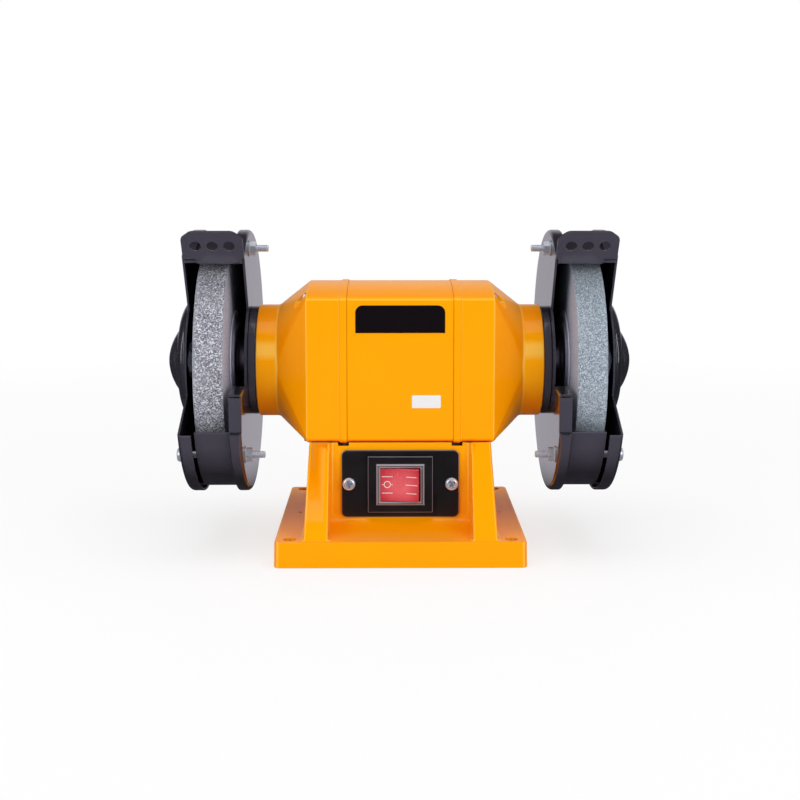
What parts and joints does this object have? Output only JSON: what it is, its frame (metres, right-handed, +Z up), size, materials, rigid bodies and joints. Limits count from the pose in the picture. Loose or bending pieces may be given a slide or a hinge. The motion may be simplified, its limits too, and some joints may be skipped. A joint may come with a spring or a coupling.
{
  "type": "bench grinder",
  "caption": "Small double-ended bench grinder: arched motor body on a pedestal base, a grinding wheel in a slotted steel guard at each end, and a front rocker switch.",
  "frame": {"origin": "on the bench, under the middle of the shaft", "axes": "+X along the shaft to the user's right, +Y away from the user, +Z up"},
  "size_m": [0.264, 0.149, 0.1777],
  "materials": {
    "yellow_paint": "gloss yellow-orange enamel",
    "black_paint": "satin black enamel",
    "grey_sheet": "bare pressed steel",
    "black_rubber": "matt black",
    "black_plastic": "satin black",
    "clear_plastic": "smoky grey",
    "red_plastic": "translucent red with pale marks",
    "white_plastic": "plain off-white",
    "lead_red": "red insulation",
    "brass": "plain",
    "core_steel": "laminated steel",
    "copper_enamel": "varnished copper wire",
    "cast_aluminium": "as cast",
    "bright_steel": "ground",
    "zinc": "zinc plated",
    "abrasive": "grey vitrified abrasive",
    "blotter_paper": "matt card",
    "label_film": "gloss black, bare",
    "sticker_paper": "plain white"
  },
  "bodies": {
    "frame": {"base_casting": "yellow_paint", "bottom_cover": "grey_sheet", "bottom_cover_screws": "zinc", "motor_screws": "zinc", "cord_grommet": "black_rubber", "switch_plate": "black_plastic", "switch_plate_screws": "zinc", "switch_housing": "black_plastic", "switch_frame": "clear_plastic", "switch_terminals": "brass", "capacitor": "white_plastic", "capacitor_strap": "grey_sheet", "strap_screw": "zinc", "motor_leads": "lead_red", "stator_shell": "yellow_paint", "stator_core": "core_steel", "stator_windings": "copper_enamel", "end_bell_left": "yellow_paint", "end_bell_right": "yellow_paint", "tie_bolts": "zinc", "tie_nuts": "zinc", "bearing_left": "bright_steel", "bearing_right": "bright_steel", "wave_washer": "bright_steel", "label_panel": "label_film", "data_sticker": "sticker_paper", "inner_guard_left": "black_paint", "inner_guard_right": "black_paint", "guard_band_left": "black_paint", "guard_band_right": "black_paint", "outer_cover_left": "black_paint", "outer_cover_right": "black_paint", "guard_screws_left": "zinc", "guard_screws_right": "zinc", "cover_bolts_left": "zinc", "cover_bolts_right": "zinc", "cover_washers_left": "zinc", "cover_washers_right": "zinc", "cover_nuts_left": "zinc", "cover_nuts_right": "zinc"},
    "rotor": {"shaft": "bright_steel", "rotor_core": "core_steel", "rotor_end_rings": "cast_aluminium", "inner_flange_left": "grey_sheet", "inner_flange_right": "grey_sheet", "wheel_left": "abrasive", "wheel_right": "abrasive", "blotters_left": "blotter_paper", "blotters_right": "blotter_paper", "outer_flange_left": "grey_sheet", "outer_flange_right": "grey_sheet", "arbor_nut_left": "zinc", "arbor_nut_right": "zinc"},
    "switch_rocker": {"rocker": "red_plastic"}
  },
  "joints": [
    {"name": "rotor_spin", "type": "hinge", "parent": "frame", "child": "rotor", "pos_m": [0, 0, 0.102], "axis": [1, 0, 0], "continuous": true},
    {"name": "rocker_tilt", "type": "hinge", "parent": "frame", "child": "switch_rocker", "pos_m": [0, -0.0481, 0.0396], "axis": [0, 0, 1], "range_deg": [0, 18]}
  ]
}
